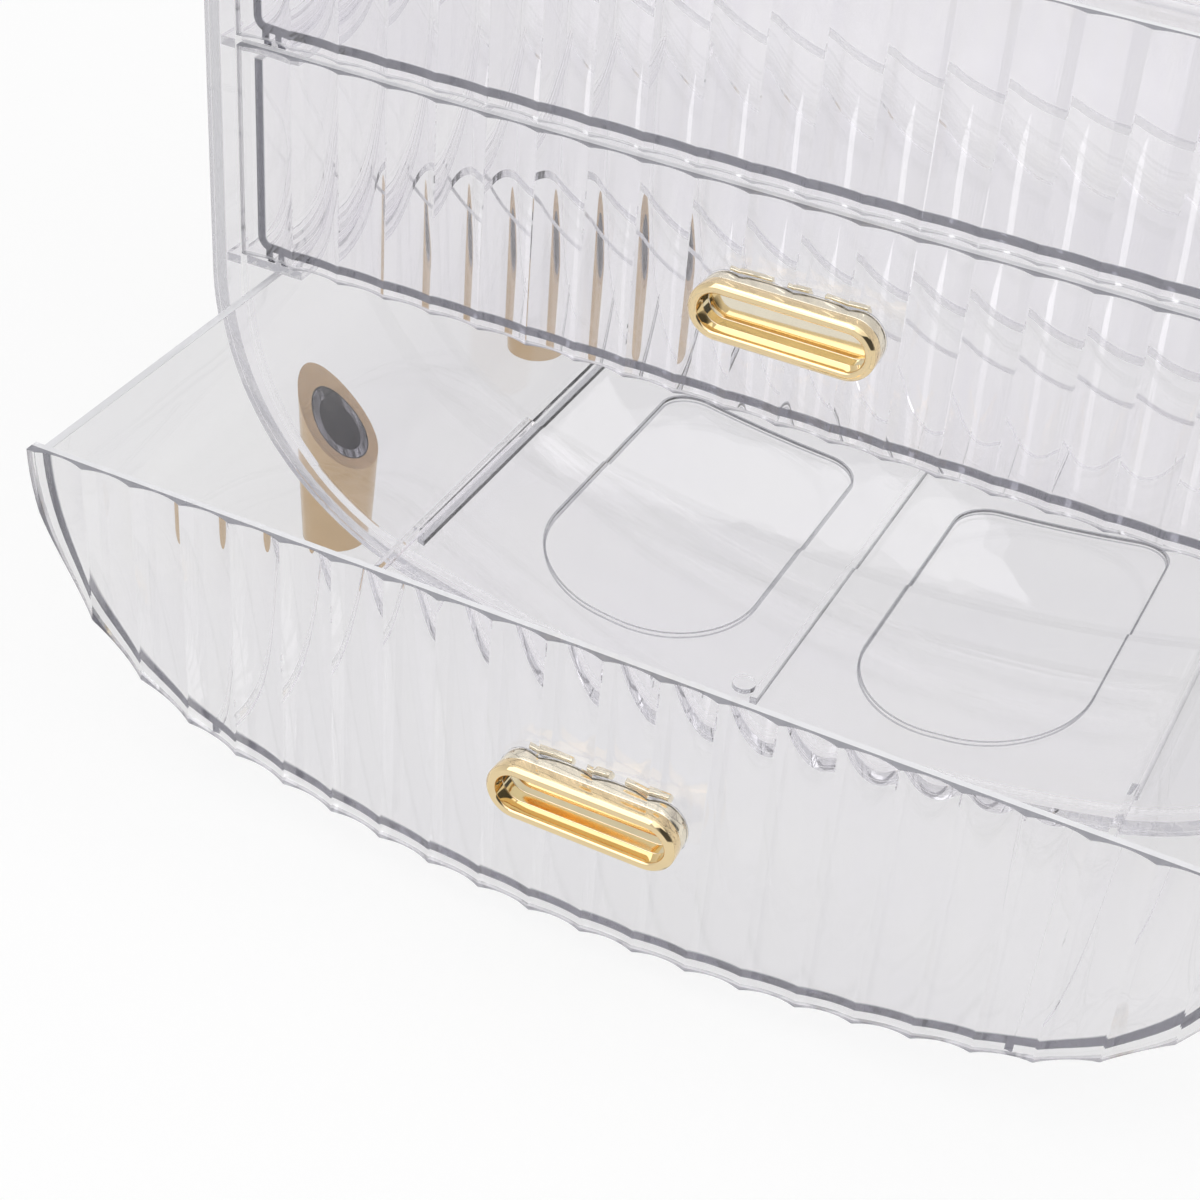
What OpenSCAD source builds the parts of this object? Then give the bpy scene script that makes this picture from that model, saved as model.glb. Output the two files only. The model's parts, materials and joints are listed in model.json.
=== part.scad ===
// Clear fluted desk organizer with a rounded bottom, two handled drawers,
// an open sliding tray on top and four gold tube feet.
// X runs to the right, Y to the back and Z up. The origin lies on the table, under the
// middle of the whole outline as it stands with the bottom drawer drawn out.

/* [Case] */
// Overall width of the case
case_w = 320; // [290:1:360]
// Depth of the case, from the closed fronts to the outside of the back panel
case_d = 170; // [150:1:210]
// Outer radius of the two big lower corners
corner_r = 80; // [70:0.5:84]
// Thickness of the moulded shell
shell_t = 3; // [2:0.1:4]
// Thickness of the back panel
back_t = 3; // [2:0.1:5]
// Air between the table and the lowest point of the case
belly_clear = 2; // [1:0.5:8]
// Height of the case's open rim above the top tray's front
rim_h = 3.5; // [0:0.5:20]
// Glue line between two pieces that are bonded together
glue = 0.2; // [0.05:0.05:0.4]

/* [Front frame] */
// Width of the clear frame that is seen round the fronts
frame_w = 8.7; // [6:0.1:14]
// How far the frame's face lies behind the ridges of the fronts
frame_set = 0.6; // [0:0.1:1]
// Gap round a closed front, to the frame
front_gap = 0.8; // [0.4:0.1:2]

/* [Fluted fronts] */
// Thickness of a front over its ridges
front_t = 3.6; // [3:0.1:6]
// Distance from one ridge to the next
flute_pitch = 13.5; // [9:0.5:20]
// Width of the narrow flat on each ridge
ridge_w = 0.3; // [0.1:0.1:1]
// Depth of a flute between two ridges
flute_depth = 1.8; // [0.6:0.1:2]

/* [Tiers] */
// Height from one shelf to the next, and so from one straight front to the next
tier_h = 60; // [50:1:90]
// Gap between two straight fronts, one above the other
tier_gap = 2.5; // [1:0.5:6]
// How far a straight front's lower edge lies above its shelf
front_lift = 2.6; // [1:0.2:4]
// Thickness of a shelf
shelf_t = 2.4; // [1.6:0.2:4]
// How far the bottom drawer, and the frame's opening for it, lie below the case's own arcs
belly_drop = 2.5; // [0:0.5:4]
// Air between the upper ends of the case's arcs and the lowest shelf
shelf_air = 2.5; // [1:0.5:8]
// Width of the opening that is cut into each shelf from the front
shelf_cut_w = 270; // [200:5:276]
// How far that opening reaches back from the closed fronts
shelf_cut_d = 85; // [50:1:120]
// Radius of the opening's two inner corners
shelf_cut_r = 27; // [5:1:45]
// Gap between a closed front's back and the front end of a shelf
stop_gap = 0.4; // [0.2:0.1:1]

/* [Trays] */
// Thickness of the walls and the floor of a tray
tray_t = 2.2; // [1.6:0.1:3]
// How far a tray's side lies inside the end of its front
tray_inset = 3; // [2:0.25:6]
// How far the bottom drawer's tray lies inside its front all round
belly_inset = 2; // [1.5:0.25:6]
// Outer radius of the two long lower corners of a straight tray
tray_r = 4; // [3:0.5:12]
// Air over a straight tray's walls, to the shelf above it
tray_air = 1; // [0.5:0.25:4]
// How far the bottom drawer's walls end below its front's top edge
wall_drop = 0.5; // [0.25:0.25:6]
// Air behind a closed tray
back_air = 2; // [1:0.5:10]

/* [Runners] */
// Height of the runner ribs under a straight tray
rib_h = 4; // [3:0.25:6]
// Thickness of every runner rib
rib_t = 2; // [1.2:0.1:3]
// Clear space between the two ribs of a pair
rib_space = 2; // [1.6:0.2:3]
// Middle of a pair of ribs, from the end of the straight front
rib_in = 8.5; // [8:0.25:12]
// Height of the guide bar on a shelf arm
guide_h = 2; // [1:0.25:2.5]
// Side play of a guide bar between its two ribs
guide_play = 0.3; // [0.2:0.05:0.5]
// Gap between a rib and what it runs on
run_gap = 0.3; // [0.2:0.05:0.5]
// Distance of the bottom drawer's two ribs from the sides of the case
rail_in = 58; // [50:1:80]
// Height of the low middle rail over the case's floor
low_rail_h = 2.3; // [1:0.1:3]
// Thickness of the three rails on the case's floor
rail_t = 2; // [1.5:0.1:3]
// Where the rails begin behind the closed fronts
rail_y = 11; // [8:1:30]
// Radius of the round pad beside the middle rail's front end
pad_r = 3.2; // [2:0.2:5]
// Distance of the pad's middle to the left of the case's middle
pad_x = 5; // [4.5:0.5:12]
// Place of the pad's middle behind the closed fronts
pad_y = 16.5; // [12:0.5:30]

/* [Floor recesses] */
// Width of each of the two rounded recesses in the case's floor
recess_w = 63; // [40:1:70]
// Gap between the two recesses
recess_gap = 34; // [20:1:40]
// Where the recesses begin behind the closed fronts
recess_y = 22; // [16:1:40]
// Where the recesses end
recess_end = 134; // [100:1:140]
// Radius of a recess's two front corners
recess_r = 29; // [10:1:31]
// Radius of a recess's two rear corners
recess_back_r = 11; // [4:1:20]
// Depth of the recesses
recess_d = 0.8; // [0.4:0.1:1.2]

/* [Feet] */
// Outer radius of a foot at its top
foot_r = 11.4; // [9:0.2:12]
// Outer radius of a foot at the table
foot_low_r = 9.6; // [9:0.1:12]
// Wall of a foot at the table
foot_t = 1.5; // [1.2:0.1:2.5]
// Thickness of a foot's closed bottom
foot_base_t = 2; // [1:0.25:4]
// Distance of the feet's middles from the sides of the case
foot_in = 22; // [18:0.5:35]
// Place of the front feet behind the closed fronts
foot_front_y = 25; // [16:0.5:40]
// Distance of the rear feet from the outside of the back panel
foot_back_y = 21; // [16:0.5:40]
// Side play of the plug inside a foot
plug_play = 0.25; // [0.1:0.05:0.5]
// Wall of the clear plug
plug_t = 2; // [1.2:0.1:3]
// Height of the plug's lower end above the table
plug_low = 12; // [4:1:20]
// Gap between the case's underside and what stands against it
seat_gap = 0.3; // [0.1:0.05:0.5]

/* [Handles] */
// Length of a handle
handle_l = 47; // [36:1:70]
// Height of a handle
handle_h = 15; // [13:0.5:22]
// Wall of the handle's ring
handle_wall = 2.6; // [2:0.1:3.5]
// How far a handle stands out from the ridges
handle_out = 6.5; // [5:0.5:14]
// Depth of the ring, the handle's front piece
ring_d = 4; // [2:0.25:4.5]
// Outer bevel of the ring
ring_bevel = 0.9; // [0.3:0.1:1.2]
// Inner bevel of the ring
ring_inner_bevel = 0.5; // [0.2:0.1:0.8]
// How far the handle's base steps in from the ring
base_step = 0.2; // [0:0.05:0.4]
// Thickness of the base's floor
base_t = 0.8; // [0.6:0.1:1.2]
// Depth of the pocket in the front that takes the base
pocket_d = 2; // [1.9:0.1:2.2]
// Play round the base in its pocket, and round a lug in its slot
pocket_play = 0.25; // [0.1:0.05:0.4]
// How far a handle's middle lies below the middle of a straight front
handle_drop = 0.1; // [0:0.1:4]
// How far a handle's middle lies below the middle of the rounded front
belly_handle_drop = 0.4; // [0:0.1:6]
// Length of each of the two wide lugs
lug_l = 10.5; // [5:0.5:11]
// Distance from the handle's middle to the near end of a wide lug
lug_x = 6.5; // [5:0.25:8]
// Length of the small middle lug
peg_l = 4.5; // [3:0.25:6]
// Thickness of a lug
lug_t = 1.8; // [1.2:0.1:2.2]
// Height of a lug's lower side over the handle's middle
lug_z = 4.4; // [3:0.1:4.6]
// How far a lug reaches behind the front
lug_out = 3.4; // [2:0.1:6]
// Height of the hook at a lug's end
hook_h = 1.2; // [0.6:0.1:2]

/* [Pose] */
// How far the bottom drawer stands open
pull = 90; // [0:1:110]

/* [Hidden] */
$fn = 96;
BIG_FN = 360;
EPS = 0.01;
FAR = 400;

// The rounded bottom is drawn with three arcs, about the middles of its two corners and a
// middle high above them. That middle lies on lines that rise 63 for every 16 sideways, so
// it is 65 away from a corner's middle, and all the middles lie on round numbers.
RUN = 16;
RISE = 63;
SLANT = 65;
STEP = RUN / 100;
corner_x = STEP * round((case_w / 2 - corner_r) / STEP);
wide_z = corner_x * RISE / RUN;
wide_step = corner_x * SLANT / RUN;

// Levels over the table
belly_h = case_w / 2 - corner_x + wide_step - wide_z;
spring_z = belly_clear + belly_h;
belly_top_z = spring_z - belly_drop;
shelf_low_z = spring_z + shelf_air;
shelf_top_z = shelf_low_z + shelf_t;
straight_h = tier_h - tier_gap;
case_top_z = shelf_top_z + tier_h + front_lift + straight_h + rim_h;

// The case's outline and what follows it inwards
half_w = case_w / 2;
front_inset = frame_w + front_gap;
front_half = half_w - front_inset;
front_w = 2 * front_half;
inner_half = half_w - shell_t;
rail_x = half_w - rail_in;
foot_x = half_w - foot_in;

// Depths
back_in_y = case_d - back_t;
shell_y = front_t + glue;
tray_y = front_t + glue;
shelf_y = front_t + stop_gap;
tray_end = back_in_y - back_air;
foot_rear_y = case_d - foot_back_y;
mid_y = (case_d - pull - handle_out) / 2;

// Flutes: as many as the front holds, each a round cut of this radius
flute_n = floor(front_w / flute_pitch);
flute_w = flute_pitch - ridge_w;
flute_r = (flute_depth * flute_depth + flute_w * flute_w / 4) / (2 * flute_depth);

// The straight trays and their runners
tray_half = front_half - tray_inset;
tray_low = rib_h;
tray_h = tier_h - shelf_t - tray_air - rib_h;
pair_x = front_half - rib_in;
guide_t = rib_space - 2 * guide_play;

// Radii of the rounded outline, moved inwards by inset, and its height at x over the table
function corner_radius(inset) = half_w - corner_x - inset;
function wide_radius(inset) = corner_radius(inset) + wide_step;
function joint_x(inset) = wide_radius(inset) * RUN / SLANT;
function outline_z(inset, x) =
    spring_z + (
        x < joint_x(inset)
            ? wide_z - sqrt(pow(wide_radius(inset), 2) - x * x)
            : -sqrt(pow(corner_radius(inset), 2) - pow(x - corner_x, 2))
    );

// Handle
handle_r = handle_h / 2;
handle_mid = handle_l / 2 - handle_r;
ring_back_y = -handle_out + ring_d;
base_y = ring_back_y + glue;
base_r = handle_r - base_step;
base_back_y = pocket_d - seat_gap;
straight_handle_z = shelf_top_z + front_lift + straight_h / 2 - handle_drop;
belly_handle_z = belly_top_z - (belly_h - front_inset) / 2 - belly_handle_drop;

// ---- places ----

// Moves what is drawn from the closed fronts' plane to the part's own origin
module in_frame() {
    translate([0, -mid_y, 0])
        children();
}

// Carries a piece of the bottom drawer to where the drawer stands open
module drawn_out() {
    in_frame()
        translate([0, -pull, 0])
            children();
}

// Stands a drawing of X and Z up and gives it the depth from y0 to y1
module upright(y0, y1) {
    translate([0, y1, 0])
        rotate([90, 0, 0])
            linear_extrude(height = y1 - y0)
                children();
}

// ---- outlines, drawn in X and Z ----

// One sector of the rounded bottom, moved inwards by inset: the left corner (-1), the wide
// middle (0) or the right corner (1)
module belly_sector(inset, side) {
    far_x = 1.5 * corner_x;
    far_z = -0.5 * wide_z;
    if (side == 0)
        intersection() {
            translate([0, wide_z])
                circle(wide_radius(inset), $fn = BIG_FN);
            polygon([[-corner_x, 0], [-far_x, far_z], [far_x, far_z], [corner_x, 0]]);
        }
    else
        intersection() {
            translate([side * corner_x, 0])
                circle(corner_radius(inset), $fn = BIG_FN / 2);
            polygon([
                [side * corner_x, 0],
                [side * far_x, far_z],
                [side * case_w, far_z],
                [side * case_w, 0]
            ]);
        }
}

// The rounded bottom, or some of its sectors, moved inwards by inset, with the upper ends
// of its arcs at a level
module belly(inset, level, sides = [-1, 0, 1]) {
    translate([0, level])
        for (side = sides)
            belly_sector(inset, side);
}

// The whole case outline, moved inwards by inset, from its arcs at a level up to the top
module case_outline(inset, top, level = spring_z) {
    belly(inset, level);
    translate([inset - half_w, level])
        square([case_w - 2 * inset, top - level]);
}

// A box of width w and height h that stands on z = 0 with its two lower corners rounded
module round_low(w, h, r) {
    for (side = [-1, 1])
        translate([side * (w / 2 - r), r])
            circle(r);
    translate([r - w / 2, 0])
        square([w - 2 * r, h]);
    translate([-w / 2, r])
        square([w, h - r]);
}

// A stadium of the handle's length whose ends have the radius r
module stadium(r) {
    for (side = [-1, 1])
        translate([side * handle_mid, 0])
            circle(r);
    translate([-handle_mid, -r])
        square([2 * handle_mid, 2 * r]);
}

// ---- case ----

// Footprint of one floor recess, drawn in X and Y
module recess_outline() {
    for (side = [-1, 1]) {
        translate([side * (recess_w / 2 - recess_r), recess_y + recess_r])
            circle(recess_r);
        translate([side * (recess_w / 2 - recess_back_r), recess_end - recess_back_r])
            circle(recess_back_r);
    }
    translate([-recess_w / 2, recess_y + recess_r])
        square([recess_w, recess_end - recess_back_r - recess_y - recess_r]);
    translate([recess_r - recess_w / 2, recess_y])
        square([recess_w - 2 * recess_r, recess_r + EPS]);
    translate([recess_back_r - recess_w / 2, recess_end - recess_back_r - EPS])
        square([recess_w - 2 * recess_back_r, recess_back_r + EPS]);
}

// One rail, standing on the floor at x and reaching up to a level
module rail(x, level) {
    floor_z = outline_z(shell_t, abs(x));
    translate([x - rail_t / 2, rail_y, floor_z - shell_t / 2])
        cube([rail_t, back_in_y - glue - rail_y, level - floor_z + shell_t / 2]);
}

// Level of the bottom drawer's ribs: the drawer front's own outline where they stand
belly_rib_z = outline_z(front_inset, rail_x) - belly_drop;

module case_shell() {
    color("lightblue", 0.5)
    in_frame() {
        difference() {
            upright(shell_y, case_d)
                case_outline(0, case_top_z);
            upright(shell_y - 1, case_d + 1)
                case_outline(shell_t, case_top_z + 1);
            for (side = [-1, 1])
                intersection() {
                    upright(recess_y - 1, recess_end + 1)
                        belly(shell_t - recess_d, spring_z);
                    translate([side * (recess_gap + recess_w) / 2, 0, 0])
                        linear_extrude(height = spring_z)
                            recess_outline();
                }
        }
        for (x = [-rail_x, rail_x])
            rail(x, belly_rib_z - run_gap);
        rail(0, belly_clear + shell_t + low_rail_h);
        translate([-pad_x, pad_y, belly_clear + shell_t / 2])
            cylinder(h = shell_t, r = pad_r);
    }
}

module back_panel() {
    color("powderblue", 0.5)
    in_frame()
        upright(back_in_y, case_d)
            case_outline(shell_t + glue, case_top_z);
}

module front_frame() {
    color("skyblue", 0.5)
    in_frame()
        difference() {
            upright(frame_set, front_t)
                case_outline(0, case_top_z);
            upright(frame_set - 1, front_t + 1)
                case_outline(frame_w, case_top_z + 1, belly_top_z);
        }
}

// A shelf between the side walls, open from the front, with a guide bar on each arm
module shelf(level) {
    w = 2 * (inner_half - glue);
    color("lightcyan", 0.6)
    in_frame() {
        translate([0, 0, level])
            linear_extrude(height = shelf_t)
                difference() {
                    translate([-w / 2, shelf_y])
                        square([w, back_in_y - glue - shelf_y]);
                    translate([0, shelf_cut_d])
                        mirror([0, 1])
                            round_low(shelf_cut_w, shelf_cut_d, shelf_cut_r);
                }
        for (side = [-1, 1])
            translate([side * pair_x - guide_t / 2, shelf_y, level + shelf_t - EPS])
                cube([guide_t, back_in_y - glue - shelf_y, guide_h + EPS]);
    }
}

module lower_shelf() {
    shelf(shelf_low_z);
}

module upper_shelf() {
    shelf(shelf_low_z + tier_h);
}

// ---- feet ----

// What lies under the case, a gap away from its skin
module under_case() {
    difference() {
        children();
        upright(-FAR, FAR)
            case_outline(-seat_gap, case_top_z);
    }
}

// A gold cup with slanted top that carries the case
module foot(x, y) {
    tall = spring_z;
    lean = (foot_r - foot_low_r) / outline_z(0, foot_x);
    color("gold")
    in_frame()
        under_case()
            translate([x, y, 0])
                difference() {
                    cylinder(h = tall, r1 = foot_low_r, r2 = foot_low_r + lean * tall);
                    translate([0, 0, foot_base_t])
                        cylinder(h = tall, r = foot_low_r - foot_t);
                }
}

// The clear tube under the case that a foot is pushed onto
module foot_plug(x, y) {
    r = foot_low_r - foot_t - plug_play;
    color("white", 0.7)
    in_frame()
        under_case()
            translate([x, y, plug_low])
                difference() {
                    cylinder(h = spring_z, r = r);
                    translate([0, 0, -1])
                        cylinder(h = spring_z + 2, r = r - plug_t);
                }
}

module foot_front_left() {
    foot(-foot_x, foot_front_y);
}

module foot_front_right() {
    foot(foot_x, foot_front_y);
}

module foot_rear_left() {
    foot(-foot_x, foot_rear_y);
}

module foot_rear_right() {
    foot(foot_x, foot_rear_y);
}

module foot_plug_front_left() {
    foot_plug(-foot_x, foot_front_y);
}

module foot_plug_front_right() {
    foot_plug(foot_x, foot_front_y);
}

module foot_plug_rear_left() {
    foot_plug(-foot_x, foot_rear_y);
}

module foot_plug_rear_right() {
    foot_plug(foot_x, foot_rear_y);
}

// ---- fluted fronts ----

// A slab of width w with the fronts' round flutes side by side in its face
module fluted_slab(w, low, height) {
    translate([0, 0, low])
        linear_extrude(height = height)
            difference() {
                translate([-w / 2, 0])
                    square([w, front_t]);
                for (i = [0 : flute_n - 1])
                    translate([(i - (flute_n - 1) / 2) * flute_pitch, flute_depth - flute_r])
                        circle(flute_r);
            }
}

// The pocket of a handle and the slots of its lugs, cut through a front at a level
module handle_pocket(level) {
    translate([0, 0, level]) {
        upright(-1, pocket_d)
            stadium(base_r + pocket_play);
        for (side = [-1, 0, 1])
            lug_slot(side);
    }
}

// Middle and length of the lug on one side (-1 or 1) or in the middle (0)
function lug_mid(side) = side * (lug_x + lug_l / 2);
function lug_len(side) = side == 0 ? peg_l : lug_l;

module lug_slot(side) {
    translate([
        lug_mid(side) - lug_len(side) / 2 - pocket_play,
        0,
        lug_z - pocket_play
    ])
        cube([lug_len(side) + 2 * pocket_play, front_t + 1, lug_t + 2 * pocket_play]);
}

// ---- bottom drawer ----

module bottom_drawer_front() {
    color("azure", 0.6)
    drawn_out()
        difference() {
            for (side = [-1, 0, 1])
                intersection() {
                    fluted_slab(case_w, 0, spring_z);
                    upright(-1, front_t + 1)
                        belly(front_inset, belly_top_z, [side]);
                }
            handle_pocket(belly_handle_z);
        }
}

module bottom_drawer_tray() {
    inset = front_inset + belly_inset;
    color("aliceblue", 0.6)
    drawn_out() {
        difference() {
            upright(tray_y, tray_end)
                belly(inset, belly_top_z);
            upright(tray_y - 1, tray_end - tray_t)
                belly(inset + tray_t, belly_top_z);
            translate([-half_w, 0, belly_top_z - wall_drop])
                cube([case_w, case_d, wall_drop + 1]);
        }
        for (side = [-1, 1])
            translate([side * rail_x - rib_t / 2, tray_y, belly_rib_z])
                cube([
                    rib_t,
                    tray_end - tray_y,
                    outline_z(inset + tray_t / 2, rail_x) - belly_drop - belly_rib_z
                ]);
    }
}

// ---- straight drawers ----

// A straight tray over the shelf at a level, with a pair of runner ribs at each side
module straight_tray(level) {
    translate([0, 0, level]) {
        difference() {
            upright(tray_y, tray_end)
                translate([0, tray_low])
                    round_low(2 * tray_half, tray_h, tray_r);
            upright(tray_y - 1, tray_end - tray_t)
                translate([0, tray_low + tray_t])
                    round_low(2 * (tray_half - tray_t), tray_h, tray_r - tray_t);
        }
        for (side = [-1, 1], rib = [-1, 1])
            translate([
                side * pair_x + rib * (rib_space + rib_t) / 2 - rib_t / 2,
                tray_y,
                run_gap
            ])
                cube([rib_t, tray_end - tray_y, tray_low + tray_t / 2 - run_gap]);
    }
}

module middle_drawer_front() {
    color("azure", 0.6)
    in_frame()
        difference() {
            fluted_slab(front_w, shelf_top_z + front_lift, straight_h);
            handle_pocket(straight_handle_z);
        }
}

module middle_drawer_tray() {
    color("aliceblue", 0.6)
    in_frame()
        straight_tray(shelf_top_z);
}

module top_tray_front() {
    color("azure", 0.6)
    in_frame()
        fluted_slab(front_w, shelf_top_z + tier_h + front_lift, straight_h);
}

module top_tray() {
    color("aliceblue", 0.6)
    in_frame()
        straight_tray(shelf_top_z + tier_h);
}

// ---- handles ----

// Cross-section of the ring, over its back face: radius from the end's middle, then depth
module ring_section() {
    inner = handle_r - handle_wall;
    polygon([
        [inner, 0],
        [handle_r, 0],
        [handle_r, ring_d - ring_bevel],
        [handle_r - ring_bevel, ring_d],
        [inner + ring_inner_bevel, ring_d],
        [inner, ring_d - ring_inner_bevel]
    ]);
}

// The bevelled gold ring: two halves, each of one round end and one straight run
module handle_ring(level) {
    translate([0, ring_back_y, level])
        rotate([90, 0, 0])
            for (turn = [0, 180])
                rotate(turn) {
                    translate([handle_mid, 0, 0])
                        rotate(-90)
                            rotate_extrude(angle = 180)
                                ring_section();
                    translate([-handle_mid, 0, 0])
                        rotate([90, 0, 90])
                            linear_extrude(height = 2 * handle_mid)
                                ring_section();
                }
}

// The gold base behind the ring: a shallow cup with three hooked lugs
module handle_base(level) {
    translate([0, 0, level]) {
        difference() {
            upright(base_y, base_back_y)
                stadium(base_r);
            upright(base_y - 1, base_back_y - base_t)
                stadium(base_r - handle_wall + 2 * base_step);
        }
        for (side = [-1, 0, 1])
            lug(side);
    }
}

// A lug through the front, with a hook that slopes up to its step
module lug(side) {
    back = front_t + seat_gap;
    end = front_t + lug_out;
    translate([lug_mid(side) - lug_len(side) / 2, 0, 0])
        rotate([90, 0, 90])
            linear_extrude(height = lug_len(side))
                polygon([
                    [base_back_y - base_t / 2, lug_z],
                    [end, lug_z],
                    [end, lug_z + lug_t / 2],
                    [back + (end - back) / 2, lug_z + lug_t + hook_h],
                    [back, lug_z + lug_t + hook_h],
                    [back, lug_z + lug_t],
                    [base_back_y - base_t / 2, lug_z + lug_t]
                ]);
}

module bottom_handle_base() {
    color("goldenrod")
    drawn_out()
        handle_base(belly_handle_z);
}

module bottom_handle_ring() {
    color("gold")
    drawn_out()
        handle_ring(belly_handle_z);
}

module middle_handle_base() {
    color("goldenrod")
    in_frame()
        handle_base(straight_handle_z);
}

module middle_handle_ring() {
    color("gold")
    in_frame()
        handle_ring(straight_handle_z);
}

case_shell();
back_panel();
front_frame();
lower_shelf();
upper_shelf();
foot_front_left();
foot_front_right();
foot_rear_left();
foot_rear_right();
foot_plug_front_left();
foot_plug_front_right();
foot_plug_rear_left();
foot_plug_rear_right();
bottom_drawer_tray();
bottom_drawer_front();
bottom_handle_base();
bottom_handle_ring();
middle_drawer_tray();
middle_drawer_front();
middle_handle_base();
middle_handle_ring();
top_tray();
top_tray_front();
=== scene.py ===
"""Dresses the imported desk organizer: clear moulded plastic, gold pulls and gold feet."""

import json
import math

import bpy
from mathutils import Matrix, Vector

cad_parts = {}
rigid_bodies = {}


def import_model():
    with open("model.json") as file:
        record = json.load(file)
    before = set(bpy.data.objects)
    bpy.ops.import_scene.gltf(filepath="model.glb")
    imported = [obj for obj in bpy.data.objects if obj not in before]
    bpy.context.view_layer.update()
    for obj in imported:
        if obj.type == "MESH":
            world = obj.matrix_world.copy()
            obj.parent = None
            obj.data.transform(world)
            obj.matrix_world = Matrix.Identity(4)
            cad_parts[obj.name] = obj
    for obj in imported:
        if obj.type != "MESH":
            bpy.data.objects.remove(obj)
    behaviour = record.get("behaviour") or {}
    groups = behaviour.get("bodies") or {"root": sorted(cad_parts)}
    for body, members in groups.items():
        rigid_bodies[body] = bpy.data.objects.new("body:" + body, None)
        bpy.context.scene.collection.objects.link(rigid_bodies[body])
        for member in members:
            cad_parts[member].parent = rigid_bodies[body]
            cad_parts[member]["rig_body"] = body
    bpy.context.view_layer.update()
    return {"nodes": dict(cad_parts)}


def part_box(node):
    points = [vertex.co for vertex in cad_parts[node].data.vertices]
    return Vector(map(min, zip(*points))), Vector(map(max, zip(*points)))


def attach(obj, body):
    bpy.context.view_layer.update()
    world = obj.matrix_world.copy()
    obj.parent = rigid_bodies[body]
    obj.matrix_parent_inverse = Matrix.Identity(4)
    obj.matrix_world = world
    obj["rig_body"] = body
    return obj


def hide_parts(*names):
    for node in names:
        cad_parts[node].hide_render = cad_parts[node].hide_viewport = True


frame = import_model()

bl_info = {
    "name": "Fluted Desk Organizer",
    "version": (1, 0, 0),
    "blender": (4, 5, 0),
    "location": "3D View > Sidebar > Organizer",
    "description": "Finishes and studio for a clear fluted desk organizer with gold pulls",
    "category": "Object",
}

# The photograph's square frame, and the camera's sensor and reach
PICTURE_SIDE = 1200
SENSOR_MM = 36.0
CLIP_NEAR = 0.01
CLIP_FAR = 50.0

# Light has to leave the plastic again after many mirrorings inside its walls
LIGHT_BOUNCES = 96

# Sizes that the solids have, in metres: the depth of the flutes and the play round a plug
CAD_FLUTE_DEPTH = 0.0018
PLUG_PLAY = 0.00025

# The two floor recesses, mirrored in X: their sides, their ends and their corners' radii
RECESS_NEAR_X = 0.017
RECESS_FAR_X = 0.080
RECESS_FRONT_Y = -0.01475
RECESS_BACK_Y = 0.09725
RECESS_FRONT_R = 0.029
RECESS_BACK_R = 0.011

# The block of space that the floor's rails and recesses lie in, where their walls get painted
# shade, and how softly it ends
FLOOR_X = 0.106
FLOOR_FRONT_Y = -0.030
FLOOR_BACK_Y = 0.128
FLOOR_TOP_Z = 0.026
FLOOR_FADE = 0.001

# Distances over which one finish turns to another, softly and at once
FADE = 0.0006
SHARP = 0.0001

# Slack when points and faces are picked by place, and the height at which a foot's bore starts
PICK_SLACK = 0.0001
BORE_START = 0.0006

# Width of the painted grey shade line on a front's upper edge and of the painted shade line along a
# recess
LIP_DEPTH = 0.002
RECESS_LINE_W = 0.0006

# Upright share of the normal at which a wall ends and a level face begins
WALL_NZ = 0.5
LEVEL_NZ = 0.6

# Share of the normal along Y at which a front's rim ends and its face begins
RIM_NY = 0.1
FACE_NY = 0.3

# Sizes of the noises and the height of wiping marks, in metres
PLASTIC_CLOUD = 0.03
GOLD_CLOUD = 0.006
GOLD_MARK = 0.0012
INSIDE_SHADE_GRAIN = 0.002
SCRATCH = 0.000001

# How each noise is stretched: flow lines along the flutes, wiping along a pull, brushing up a foot
FLUTE_FLOW = (1, 1, 0.35)
PULL_WIPE = (0.3, 1, 1)
FOOT_BRUSH = (1, 1, 0.2)

# How much clouds lighten plastic and darken gold, and how marks spread the gold's roughness
CLEAR_CLOUD_GAIN = 1.01
GOLD_CLOUD_GAIN = 0.96
MARK_LOW, MARK_HIGH = 0.85, 1.15

# The plastic's index, and the noise values at which haze begins and is full
PLASTIC_IOR = 1.49
HAZE_START, HAZE_FULL = 0.62, 0.8

# Painted shade inside a foot: the dark brown it is mottled with, and its roughness
INSIDE_SHADE_BROWN = (0.03, 0.022, 0.016)
INSIDE_ROUGHNESS = 0.55

# Work on the copies of solids: the distance at which points are one, and angles in degrees
WELD = 1e-6
FLAT_ANGLE = 0.4
FLUTE_ANGLE = 18
BEVEL_ANGLE = 30
SMOOTH_ANGLE = 35
BEVEL_SEGMENTS = 3

# Upright share of the direction at which the white at the room's foot has turned to its own colour
ROOM_WALL_TOP = 0.5

# The dark end of the room: how dark it is, and the cosines at which it begins and is full
DARK_SIDE_LEVEL = 0.1
DARK_SIDE_START, DARK_SIDE_FULL = 0.72, 0.9

# The floor, and the distances between which its shadow fades to plain white
FLOOR_SIDE = 12
SHADOW_NEAR = 0.35
SHADOW_FAR = 0.9

# Place and size of each lamp. All look at one point, and the strip is turned about that line.
LAMP_AIM = (0, 0, 0.08)
TOP_PLACE, TOP_SIZE = (0.35, -0.3, 1.6), (2.2, 2.2)
LEFT_PLACE, LEFT_SIZE = (-0.5, -1.0, 1.15), (1.1, 1.1)
STRIP_PLACE, STRIP_SIZE = (-0.25, 1.1, 0.80), (0.26, 0.06)
STRIP_TURN = math.radians(-61)

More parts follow.
